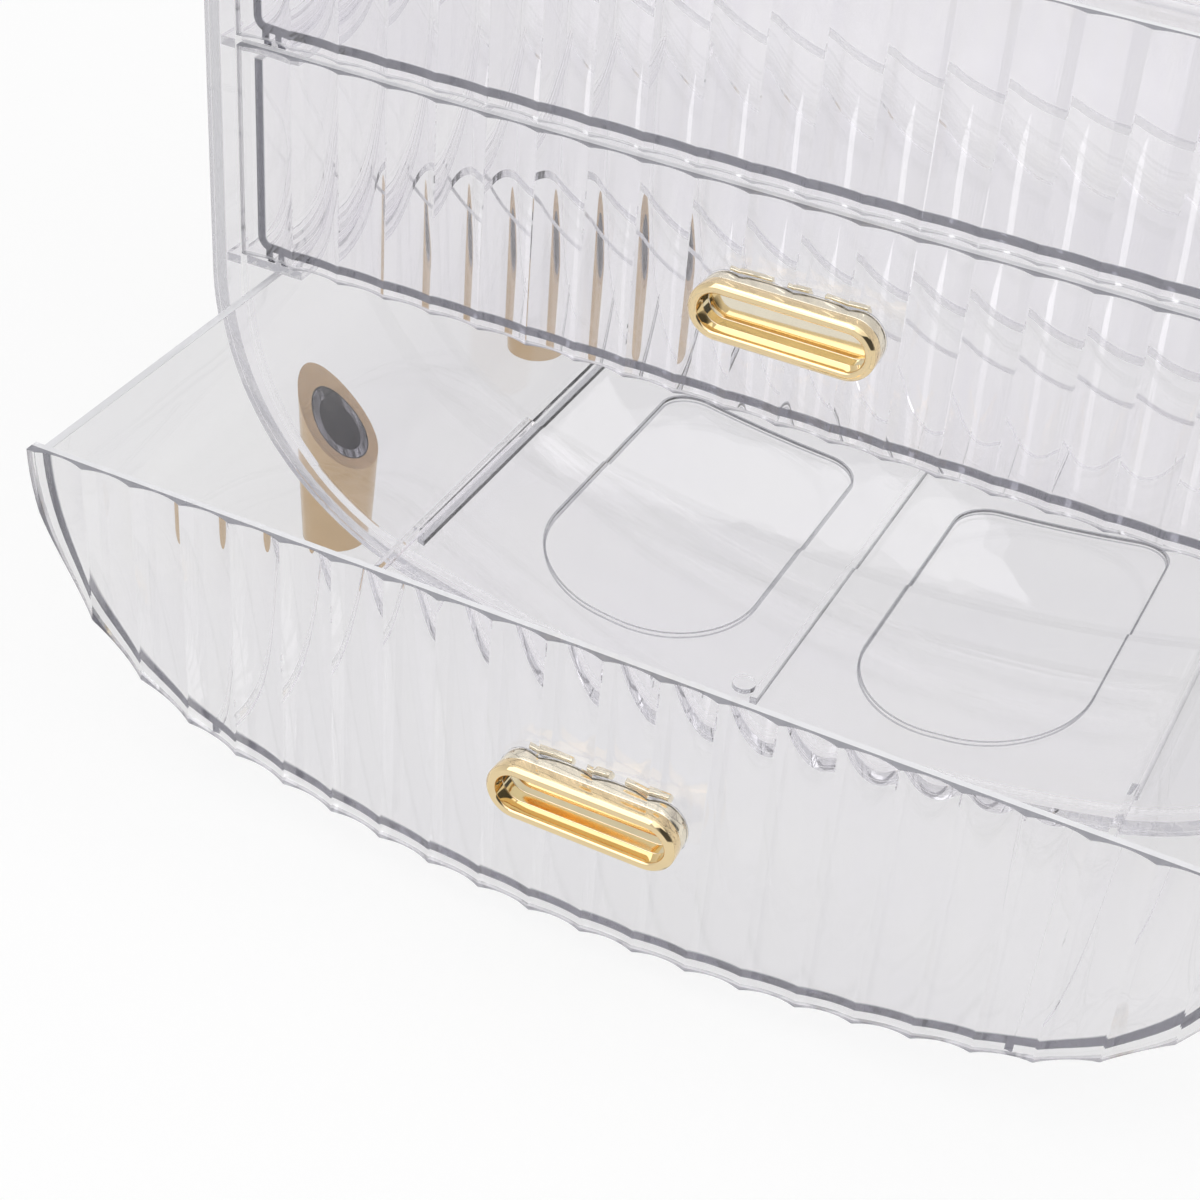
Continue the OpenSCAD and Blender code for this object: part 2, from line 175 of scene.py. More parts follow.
SHELL_NODES = ("case_shell", "back_panel", "front_frame", "lower_shelf", "upper_shelf")
TRAY_NODES = ("bottom_drawer_tray", "middle_drawer_tray", "top_tray")
FRONT_NODES = ("bottom_drawer_front", "middle_drawer_front", "top_tray_front")
PLUG_NODES = tuple(
    f"foot_plug_{end}_{side}" for end in ("front", "rear") for side in ("left", "right")
)
FOOT_NODES = tuple(node.replace("_plug", "") for node in PLUG_NODES)
PULL_NODES = tuple(
    f"{drawer}_handle_{part}" for drawer in ("bottom", "middle") for part in ("base", "ring")
)


# ---- settings ----


class PlasticSettings(bpy.types.PropertyGroup):
    """Finish of the clear moulded plastic"""

    tint: bpy.props.FloatVectorProperty(
        name="Tint", description="Colour that a thin wall gives to what is seen through it",
        subtype="COLOR", size=3, min=0, max=1, default=(0.992, 0.986, 0.998),
    )
    # Painted shade: a dark slate band at a tray's front end, standing in for the dark look of the
    # joint seen through the front
    seam: bpy.props.FloatVectorProperty(
        name="Seam", description="Dark slate of the edge where a tray is joined to its front",
        subtype="COLOR", size=3, min=0, max=1, default=(0.1, 0.1, 0.125),
    )
    # Painted shade: grey on the outer part of a front's frosted upper edge
    lip_shade: bpy.props.FloatVectorProperty(
        name="Lip", description="Grey of the outer part of a front's upper edge",
        subtype="COLOR", size=3, min=0, max=1, default=(0.3, 0.3, 0.33),
    )
    # Painted shade: slate on the low walls round the floor recesses
    step: bpy.props.FloatVectorProperty(
        name="Step", description="Slate of the low walls round the recesses in the floor",
        subtype="COLOR", size=3, min=0, max=1, default=(0.06, 0.06, 0.07),
    )
    # Painted shade: a grey line along the edge of each floor recess
    recess_shade_line: bpy.props.FloatVectorProperty(
        name="Recess Line", description="Grey of the thin line along the edge of a floor recess",
        subtype="COLOR", size=3, min=0, max=1, default=(0.3, 0.3, 0.33),
    )
    # Painted shade: grey on the sides of the floor's rails
    rail_shade: bpy.props.FloatVectorProperty(
        name="Rail", description="Grey of the sides of the rails on the floor",
        subtype="COLOR", size=3, min=0, max=1, default=(0.65, 0.65, 0.68),
    )
    frost: bpy.props.FloatProperty(
        name="Frost", description="How much frost covers the cut upper edges of trays and fronts",
        subtype="FACTOR", min=0, max=1, default=0.8,
    )
    rim_frost: bpy.props.FloatProperty(
        name="Rim Frost", description="How much frost covers the side and lower edges of a front",
        subtype="FACTOR", min=0, max=1, default=0.4,
    )
    edge_white: bpy.props.FloatVectorProperty(
        name="Edge White", description="Colour of the frosted upper edges",
        subtype="COLOR", size=3, min=0, max=1, default=(0.88, 0.88, 0.9),
    )
    flute_depth: bpy.props.FloatProperty(
        name="Flute Depth", description="Depth of the flutes in the fronts",
        unit="LENGTH", min=0.0005, max=0.0018, default=0.0014, precision=4,
    )
    # Painted shade: this grey tint darkens the plugs to stand in for the shade inside the feet
    plug_tint: bpy.props.FloatVectorProperty(
        name="Plug Tint", description="Smoky tint of the tubes inside the feet",
        subtype="COLOR", size=3, min=0, max=1, default=(0.32, 0.32, 0.34),
    )
    edge_colour: bpy.props.FloatVectorProperty(
        name="Edge Colour", description="Colour that a long way through the plastic takes on",
        subtype="COLOR", size=3, min=0, max=1, default=(0.6, 0.6, 0.63),
    )
    edge_density: bpy.props.FloatProperty(
        name="Edge Density", description="How fast the plastic darkens with depth, per metre",
        min=0, max=200, default=4.0,
    )
    haze: bpy.props.FloatProperty(
        name="Haze", description="Roughness of the few wiped patches on the polished faces",
        subtype="FACTOR", min=0, max=1, default=0.03,
    )
    ripple: bpy.props.FloatProperty(
        name="Ripple", description="Height of the slow ripples that moulding leaves",
        unit="LENGTH", min=0, max=0.001, default=0.00004, precision=5,
    )
    ripple_size: bpy.props.FloatProperty(
        name="Ripple Size", description="Distance from one ripple to the next",
        unit="LENGTH", min=0.002, max=0.2, default=0.022,
    )


class GoldSettings(bpy.types.PropertyGroup):
    """Finish of the gold-plated pulls and feet"""

    pull_colour: bpy.props.FloatVectorProperty(
        name="Pull Colour", description="Colour of the mirror-bright pulls",
        subtype="COLOR", size=3, min=0, max=1, default=(0.93, 0.74, 0.44),
    )
    cup_colour: bpy.props.FloatVectorProperty(
        name="Cup Colour", description="Paler gold of the cup behind a pull's ring",
        subtype="COLOR", size=3, min=0, max=1, default=(0.94, 0.87, 0.7),
    )
    foot_colour: bpy.props.FloatVectorProperty(
        name="Foot Colour", description="Colour of the satin feet",
        subtype="COLOR", size=3, min=0, max=1, default=(0.62, 0.45, 0.26),
    )
    pull_roughness: bpy.props.FloatProperty(
        name="Pull Roughness", description="Roughness of the pulls",
        subtype="FACTOR", min=0, max=1, default=0.06,
    )
    foot_roughness: bpy.props.FloatProperty(
        name="Foot Roughness", description="Roughness of the feet",
        subtype="FACTOR", min=0, max=1, default=0.2,
    )
    # Painted shade: the near-black inside of a foot stands in for the shade in its hollow
    inside: bpy.props.FloatVectorProperty(
        name="Foot Inside", description="Colour of the unplated inside of a foot",
        subtype="COLOR", size=3, min=0, max=1, default=(0.006, 0.006, 0.006),
    )
    foot_edge: bpy.props.FloatProperty(
        name="Foot Edge", description="Radius of the rolled edge at the top of a foot",
        unit="LENGTH", min=0, max=0.001, default=0.00045, precision=5,
    )
    edge_round: bpy.props.FloatProperty(
        name="Edge Rounding", description="Radius that plating leaves on every edge",
        unit="LENGTH", min=0, max=0.001, default=0.00025, precision=5,
    )


class StudioSettings(bpy.types.PropertyGroup):
    """Camera, lamps and backdrop"""

    eye: bpy.props.FloatVectorProperty(
        name="Camera Place", description="Where the camera stands",
        subtype="TRANSLATION", unit="LENGTH", size=3, default=(0.15773, -0.48853, 0.40214),
    )
    azimuth: bpy.props.FloatProperty(
        name="Camera Azimuth", description="How far round to the right the camera stands",
        unit="ROTATION", default=math.radians(23.81),
    )
    elevation: bpy.props.FloatProperty(
        name="Camera Elevation", description="How steeply the camera looks down",
        unit="ROTATION", default=math.radians(36.93),
    )
    roll: bpy.props.FloatProperty(
        name="Camera Roll", description="How far the camera is turned about its own line of sight",
        unit="ROTATION", default=math.radians(4.87),
    )
    focal_pixels: bpy.props.FloatProperty(
        name="Focal Length", description="Focal length in pixels of the square picture",
        min=100, max=10000, default=2372.4,
    )
    ground: bpy.props.FloatVectorProperty(
        name="Ground", description="Colour of the floor",
        subtype="COLOR", size=3, min=0, max=1, default=(0.96, 0.96, 0.96),
    )
    room: bpy.props.FloatVectorProperty(
        name="Room", description="Colour of the dim room over the object, as gloss mirrors it",
        subtype="COLOR", size=3, min=0, max=1, default=(0.66, 0.66, 0.68),
    )
    paper: bpy.props.FloatProperty(
        name="Paper", description="How white the ground looks through plastic and in gloss",
        subtype="FACTOR", min=0, max=1, default=0.8,
    )
    dark_side: bpy.props.FloatVectorProperty(
        name="Dark Side", description="Direction of the dark end of the room, at the front right",
        subtype="DIRECTION", size=3, default=(0.78, -0.42, 0.45),
    )
    shadow: bpy.props.FloatProperty(
        name="Shadow", description="How much of the object's shadow the white floor keeps",
        subtype="FACTOR", min=0, max=1, default=0.2,
    )
    fill: bpy.props.FloatProperty(
        name="Fill Light", description="Strength of the even light from all round",
        min=0, max=5, default=0.55,
    )
    key: bpy.props.FloatProperty(
        name="Key Lamp", description="Power of the big softbox over the object",
        unit="POWER", min=0, max=500, default=13.5,
    )
    side: bpy.props.FloatProperty(
        name="Side Lamp", description="Power of the softbox at the front left",
        unit="POWER", min=0, max=500, default=4.5,
    )
    strip: bpy.props.FloatProperty(
        name="Strip Lamp", description="Power of the back strip, which the clear floor mirrors",
        unit="POWER", min=0, max=500, default=0.04,
    )


def settings():
    """The three groups of settings, which hang on the scene."""
    scene = bpy.context.scene
    return scene.organizer_plastic, scene.organizer_gold, scene.organizer_studio


# ---- helpers ----


def new_material(name):
    """An empty node material with its output node."""
    made = bpy.data.materials.new(name)
    made.use_nodes = True
    tree = made.node_tree
    tree.nodes.clear()
    return made, tree, tree.nodes.new("ShaderNodeOutputMaterial")


def noise(tree, size, detail=2.0, stretch=(1, 1, 1)):
    """Noise on Object coordinates whose features are about size metres across."""
    coords = tree.nodes.new("ShaderNodeTexCoord")
    mapping = tree.nodes.new("ShaderNodeMapping")
    mapping.inputs["Scale"].default_value = stretch
    tree.links.new(coords.outputs["Object"], mapping.inputs["Vector"])
    made = tree.nodes.new("ShaderNodeTexNoise")
    made.inputs["Scale"].default_value = 1 / size
    made.inputs["Detail"].default_value = detail
    tree.links.new(mapping.outputs["Vector"], made.inputs["Vector"])
    return made.outputs["Fac"]


def spread(tree, value, low, high, start=0.3, end=0.7):
    """Maps a value between start and end to the range from low to high, and holds it there."""
    ranged = tree.nodes.new("ShaderNodeMapRange")
    for name, number in (("From Min", start), ("From Max", end), ("To Min", low), ("To Max", high)):
        ranged.inputs[name].default_value = number
    tree.links.new(value, ranged.inputs["Value"])
    return ranged.outputs["Result"]


def tone(tree, value, first, second, start=0.3, end=0.7):
    """A colour between two, by a value between start and end."""
    ramp = tree.nodes.new("ShaderNodeValToRGB")
    for element, position, colour in zip(ramp.color_ramp.elements, (start, end), (first, second)):
        element.position = position
        element.color = (*colour, 1)
    tree.links.new(value, ramp.inputs["Fac"])
    return ramp.outputs["Color"]


def bump(tree, value, height):
    """A bump of a height in metres."""
    made = tree.nodes.new("ShaderNodeBump")
    made.inputs["Strength"].default_value = 1.0
    made.inputs["Distance"].default_value = height
    tree.links.new(value, made.inputs["Height"])
    return made.outputs["Normal"]


def calculate(tree, operation, first, second=0.0):
    """A Math node on two values, each a number or an output."""
    made = tree.nodes.new("ShaderNodeMath")
    made.operation = operation
    for socket, value in zip(made.inputs, (first, second)):
        if isinstance(value, (int, float)):
            socket.default_value = value
        else:
            tree.links.new(value, socket)
    return made.outputs["Value"]


def product(tree, *values):
    """The product of several values."""
    total = values[0]
    for value in values[1:]:
        total = calculate(tree, "MULTIPLY", total, value)
    return total


def coordinate(tree, axis):
    """Where a point lies along an axis of Object coordinates."""
    coords = tree.nodes.new("ShaderNodeTexCoord")
    split = tree.nodes.new("ShaderNodeSeparateXYZ")
    tree.links.new(coords.outputs["Object"], split.inputs["Vector"])
    return split.outputs[axis]


def along(tree, axis, start, end):
    """0 before start and 1 past end, along an axis of Object coordinates."""
    return spread(tree, coordinate(tree, axis), 0, 1, start, end)


def facing(tree, axis, normal="True Normal"):
    """How far a face looks along an axis."""
    geometry = tree.nodes.new("ShaderNodeNewGeometry")
    split = tree.nodes.new("ShaderNodeSeparateXYZ")
    tree.links.new(geometry.outputs[normal], split.inputs["Vector"])
    return split.outputs[axis]


def blend_colour(tree, share, colour, other):
    """Turns a colour to another by a share."""
    mix = tree.nodes.new("ShaderNodeMix")
    mix.data_type = "RGBA"
    colours = [socket for socket in mix.inputs if socket.type == "RGBA"]
    colours[1].default_value = (*other, 1)
    tree.links.new(share, mix.inputs["Factor"])
    tree.links.new(colour, colours[0])
    return next(socket for socket in mix.outputs if socket.type == "RGBA")


def blend_shader(tree, share, shader, other):
    """Turns a shader to another by a share."""
    mix = tree.nodes.new("ShaderNodeMixShader")
    for socket, output in zip(mix.inputs, (share, shader, other)):
        tree.links.new(output, socket)
    return mix.outputs["Shader"]


def clear_plastic(
    name,
    plastic,
    stretch=(1, 1, 1),
    tint=None,
    seam_y=None,
    edge_z=None,
    line_y=None,
    low_walls=False,
):
    """Clear moulded plastic: dark in its depth, rippled by moulding, and open to lamps.

    seam_y is a tray's front end, where painted shade darkens the seam, and edge_z the upper edge of
    a tray or front. line_y is where the painted grey shade line on a front's upper edge ends.
    low_walls is for the shell, whose rails and recesses get painted shade on their walls and edges.
    """
    made, tree, out = new_material(name)
    glass = tree.nodes.new("ShaderNodeBsdfPrincipled")
    glass.inputs["Transmission Weight"].default_value = 1.0
    glass.inputs["IOR"].default_value = PLASTIC_IOR
    cloud = noise(tree, PLASTIC_CLOUD, 1)
    tint = tint or plastic.tint
    colour = tone(tree, cloud, tint, tuple(min(1, CLEAR_CLOUD_GAIN * c) for c in tint))
    # Painted shade at the seam: the tray's front end turns dark slate
    if seam_y is not None:
        seam = along(tree, "Y", seam_y + FADE, seam_y + SHARP)
        colour = blend_colour(tree, seam, colour, plastic.seam)
    # Painted shade: grey rail sides, slate recess walls and a grey line round each recess
    if low_walls:
        walls, recess_walls = low_wall(tree)
        colour = blend_colour(tree, walls, colour, plastic.rail_shade)
        colour = blend_colour(tree, recess_walls, colour, plastic.step)
        colour = blend_colour(tree, recess_shade_line(tree), colour, plastic.recess_shade_line)
    tree.links.new(colour, glass.inputs["Base Color"])
    roughness = spread(tree, cloud, 0, plastic.haze, HAZE_START, HAZE_FULL)
    tree.links.new(roughness, glass.inputs["Roughness"])
    ripples = noise(tree, plastic.ripple_size, 0, stretch)
    tree.links.new(bump(tree, ripples, plastic.ripple), glass.inputs["Normal"])
    surface = glass.outputs["BSDF"]
    if edge_z is not None:
        surface = cut_edge(tree, plastic, surface, edge_z, line_y)
    open_to_lamps = tree.nodes.new("ShaderNodeBsdfTransparent")
    open_to_lamps.inputs["Color"].default_value = (*((1 + c) / 2 for c in tint), 1)
    shadow_ray = tree.nodes.new("ShaderNodeLightPath").outputs["Is Shadow Ray"]
    surface = blend_shader(tree, shadow_ray, surface, open_to_lamps.outputs["BSDF"])
    tree.links.new(surface, out.inputs["Surface"])
    depth = tree.nodes.new("ShaderNodeVolumeAbsorption")
    depth.inputs["Color"].default_value = (*plastic.edge_colour, 1)
    depth.inputs["Density"].default_value = plastic.edge_density
    tree.links.new(depth.outputs["Volume"], out.inputs["Volume"])
    return made


def cut_edge(tree, plastic, surface, edge_z, line_y):
    """Frosts the upper edge. On a front the frost is painted grey shade before line_y, and the rim
    is frosted too.
    """
    frosted = tree.nodes.new("ShaderNodeBsdfDiffuse")
    frosted.inputs["Color"].default_value = (*plastic.edge_white, 1)
    upper = along(tree, "Z", edge_z - 2 * SHARP, edge_z - SHARP)
    share = spread(tree, upper, 0, plastic.frost, 0, 1)
    if line_y is not None:
        # Painted shade: the frost turns grey on the outer part of a front's edge
        outer = along(tree, "Y", line_y + SHARP, line_y - SHARP)
        tree.links.new(tone(tree, outer, plastic.edge_white, plastic.lip_shade), frosted.inputs["Color"])
        sideways = calculate(tree, "ABSOLUTE", facing(tree, "Y"))
        rim = spread(tree, sideways, plastic.rim_frost, 0, RIM_NY, FACE_NY)
        share = calculate(tree, "MAXIMUM", share, rim)
    return blend_shader(tree, share, surface, frosted.outputs["BSDF"])


def low_wall(tree):
    """Masks for painted shade: 1 on the steep walls of the floor's rails and recesses, and the same
    for recesses only.
    """
    steep = calculate(tree, "ABSOLUTE", facing(tree, "Z", "Normal"))
    walls = product(
        tree,
        spread(tree, steep, 1, 0, WALL_NZ, LEVEL_NZ),
        along(tree, "Z", FLOOR_TOP_Z + FLOOR_FADE, FLOOR_TOP_Z),
        along(tree, "X", -FLOOR_X, FLOOR_FADE / 2 - FLOOR_X),
        along(tree, "X", FLOOR_X, FLOOR_X - FLOOR_FADE / 2),
        along(tree, "Y", FLOOR_FRONT_Y - FLOOR_FADE, FLOOR_FRONT_Y),
        along(tree, "Y", FLOOR_BACK_Y + FLOOR_FADE, FLOOR_BACK_Y),
    )
    beside = calculate(tree, "ABSOLUTE", coordinate(tree, "X"))
    recess_walls = product(
        tree,
        walls,
        spread(tree, beside, 0, 1, RECESS_NEAR_X - FADE, RECESS_NEAR_X - SHARP),
        spread(tree, beside, 0, 1, RECESS_FAR_X + FADE, RECESS_FAR_X + SHARP),
    )
    return walls, recess_walls


def recess_shade_line(tree):
    """Mask for a painted shade line: 1 on a thin line on the floor, just outside the rounded
    outline of a recess, else 0.
    """
    distance = recess_distance(tree)
    return product(
        tree,
        spread(tree, distance, 0, 1, -SHARP, 0),
        spread(tree, distance, 1, 0, RECESS_LINE_W, RECESS_LINE_W + SHARP),
        along(tree, "Z", FLOOR_TOP_Z + FLOOR_FADE, FLOOR_TOP_Z),
        spread(tree, facing(tree, "Z"), 0, 1, WALL_NZ, LEVEL_NZ),
    )


def recess_distance(tree):
    """Distance from the outline of the nearer recess, a rectangle whose corners are rounded."""
    middle_x = (RECESS_NEAR_X + RECESS_FAR_X) / 2
    middle_y = (RECESS_FRONT_Y + RECESS_BACK_Y) / 2
    half_w = (RECESS_FAR_X - RECESS_NEAR_X) / 2
    half_l = (RECESS_BACK_Y - RECESS_FRONT_Y) / 2
    to_back = along(tree, "Y", middle_y - SHARP, middle_y + SHARP)
    radius = spread(tree, to_back, RECESS_FRONT_R, RECESS_BACK_R, 0, 1)
    beside = calculate(tree, "ABSOLUTE", coordinate(tree, "X"))
    across = calculate(tree, "SUBTRACT", beside, middle_x)
    lengthways = calculate(tree, "SUBTRACT", coordinate(tree, "Y"), middle_y)
    past = []
    for offset, half in ((across, half_w), (lengthways, half_l)):
        beyond = calculate(tree, "SUBTRACT", calculate(tree, "ABSOLUTE", offset), half)
        past.append(calculate(tree, "ADD", beyond, radius))
    squares = [calculate(tree, "POWER", calculate(tree, "MAXIMUM", side, 0), 2) for side in past]
    outer = calculate(tree, "SQRT", calculate(tree, "ADD", *squares))
    inner = calculate(tree, "MINIMUM", calculate(tree, "MAXIMUM", *past), 0)
    return calculate(tree, "SUBTRACT", calculate(tree, "ADD", outer, inner), radius)


def gold(name, colour, roughness, stretch):
    """Gold plating with faint cloudiness and fine marks, stretched one way."""
    made, tree, out = new_material(name)
    metal = tree.nodes.new("ShaderNodeBsdfPrincipled")
    metal.inputs["Metallic"].default_value = 1.0
    deep = tuple(GOLD_CLOUD_GAIN * c for c in colour)
    tree.links.new(tone(tree, noise(tree, GOLD_CLOUD), deep, colour), metal.inputs["Base Color"])
    marks = noise(tree, GOLD_MARK, stretch=stretch)
    uneven = spread(tree, marks, MARK_LOW * roughness, MARK_HIGH * roughness)
    tree.links.new(uneven, metal.inputs["Roughness"])
    tree.links.new(bump(tree, marks, SCRATCH), metal.inputs["Normal"])
    tree.links.new(metal.outputs["BSDF"], out.inputs["Surface"])
    return made


def painted_inside_shade(colour):
    """Painted shade for the dull dark inside of a foot: near-black mottled with dark brown."""
    made, tree, out = new_material("foot_inside_shade")
    bare = tree.nodes.new("ShaderNodeBsdfPrincipled")
    bare.inputs["Roughness"].default_value = INSIDE_ROUGHNESS
    grain = noise(tree, INSIDE_SHADE_GRAIN)
    tree.links.new(tone(tree, grain, colour, INSIDE_SHADE_BROWN), bare.inputs["Base Color"])
    tree.links.new(bare.outputs["BSDF"], out.inputs["Surface"])
    return made


def paint(obj, made):
    """Gives all of an object one material."""
    obj.data.materials.clear()
    obj.data.materials.append(made)


def cad_copy(node, name):
    """A merged copy of a CAD node, ready for modifiers, which stands for the node."""
    source = frame["nodes"][node]
    made = bpy.data.objects.new(name, source.data.copy())
    bpy.context.scene.collection.objects.link(made)
    bpy.ops.object.select_all(action="DESELECT")
    made.select_set(True)
    bpy.context.view_layer.objects.active = made
    bpy.ops.mesh.customdata_custom_splitnormals_clear()
    bpy.ops.object.mode_set(mode="EDIT")
    bpy.ops.mesh.select_all(action="SELECT")
    bpy.ops.mesh.remove_doubles(threshold=WELD)
    bpy.ops.mesh.dissolve_limited(angle_limit=math.radians(FLAT_ANGLE))
    bpy.ops.object.mode_set(mode="OBJECT")
    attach(made, source["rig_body"])
    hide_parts(node)
    return made


def round_edges(obj, radius):
    """Rounds every sharp edge and shades the rest smooth."""
    bpy.context.view_layer.objects.active = obj
    modifier = obj.modifiers.new("edges", "BEVEL")
    modifier.width = radius
    modifier.segments = BEVEL_SEGMENTS
    modifier.limit_method = "ANGLE"
    modifier.angle_limit = math.radians(BEVEL_ANGLE)
    modifier.harden_normals = False
    bpy.ops.object.modifier_apply(modifier=modifier.name)
    bpy.ops.object.shade_smooth_by_angle(angle=math.radians(SMOOTH_ANGLE))


# ---- operators ----


class ORGANIZER_OT_clear_case(bpy.types.Operator):
    """Finish the moulded case, its back, its front frame and its shelves, with painted shade on the
    floor's rails and recesses
    """

    bl_idname = "organizer.clear_case"
    bl_label = "Clear Case"

    def execute(self, context):
        plastic = settings()[0]
        made = clear_plastic("clear_case", plastic)
        for node in SHELL_NODES:
            paint(frame["nodes"][node], made)
        # The shell's floor gets painted shade on its rails and recesses
        paint(frame["nodes"]["case_shell"], clear_plastic("clear_shell", plastic, low_walls=True))
        return {"FINISHED"}


class ORGANIZER_OT_trays(bpy.types.Operator):
    """Finish the three clear trays, with painted shade along the seam at each front end"""

    bl_idname = "organizer.trays"
    bl_label = "Trays"

    def execute(self, context):
        plastic = settings()[0]
        for node in TRAY_NODES:
            low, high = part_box(node)
            made = clear_plastic("clear_" + node, plastic, seam_y=low.y, edge_z=high.z)
            paint(frame["nodes"][node], made)
        return {"FINISHED"}


class ORGANIZER_OT_fluted_fronts(bpy.types.Operator):
    """Make the three fluted fronts, whose flutes are as deep as the setting says"""

    bl_idname = "organizer.fluted_fronts"
    bl_label = "Fluted Fronts"

    def execute(self, context):
        plastic = settings()[0]
        for node in FRONT_NODES:
            low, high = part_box(node)
            piece = cad_copy(node, node + "_panel")
            for vertex in piece.data.vertices:
                sunk = vertex.co.y - low.y
                if sunk < CAD_FLUTE_DEPTH + PICK_SLACK:
                    vertex.co.y = low.y + sunk * plastic.flute_depth / CAD_FLUTE_DEPTH
            bpy.ops.object.shade_smooth_by_angle(angle=math.radians(FLUTE_ANGLE))
            # Painted shade: a grey line on the outer part of each front's upper edge
            made = clear_plastic(
                "clear_" + node, plastic, FLUTE_FLOW, edge_z=high.z, line_y=low.y + LIP_DEPTH
            )
            paint(piece, made)
        return {"FINISHED"}


class ORGANIZER_OT_pulls(bpy.types.Operator):
    """Make the two gold pulls with rounded edges"""

    bl_idname = "organizer.pulls"
    bl_label = "Gold Pulls"

    def execute(self, context):
        finish = settings()[1]
        golds = {
            "ring": gold("ring_gold", finish.pull_colour, finish.pull_roughness, PULL_WIPE),
            "base": gold("cup_gold", finish.cup_colour, finish.pull_roughness, PULL_WIPE),
        }
        for node in PULL_NODES:
            piece = cad_copy(node, node.replace("handle", "pull"))
            round_edges(piece, finish.edge_round)
            paint(piece, golds[node.split("_")[-1]])
        return {"FINISHED"}


class ORGANIZER_OT_feet(bpy.types.Operator):
    """Make the four gold feet with painted shade in their bores, and darken the plugs inside them
    as painted shade
    """

    bl_idname = "organizer.feet"
    bl_label = "Gold Feet"

    def execute(self, context):
        plastic, finish, _ = settings()
        outside = gold("foot_gold_satin", finish.foot_colour, finish.foot_roughness, FOOT_BRUSH)
        # The second material is painted shade, near-black, for the foot's hollow
        inside = painted_inside_shade(finish.inside)
        for node in FOOT_NODES:
            piece = cad_copy(node, node + "_cup")
            round_edges(piece, finish.foot_edge)
            paint(piece, outside)
            piece.data.materials.append(inside)
            self.darken_bore(piece, node)
        # The plugs' grey tint is painted shade of the hollow inside each foot
        plug = clear_plastic("shaded_plug", plastic, tint=plastic.plug_tint)
        for node in PLUG_NODES:
            paint(frame["nodes"][node], plug)
        return {"FINISHED"}

    def darken_bore(self, piece, node):
        """Gives the faces of the bore that the plug sits in the second material, the painted shade.
        """
        foot_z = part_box(node)[0].z
        low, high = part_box(node.replace("foot", "foot_plug"))
        middle = (low + high) / 2
        reach = (high.x - low.x) / 2 + PLUG_PLAY + PICK_SLACK
        for face in piece.data.polygons:
            away = (face.center - middle).to_2d().length
            if away < reach and face.center.z > foot_z + BORE_START:
                face.material_index = 1


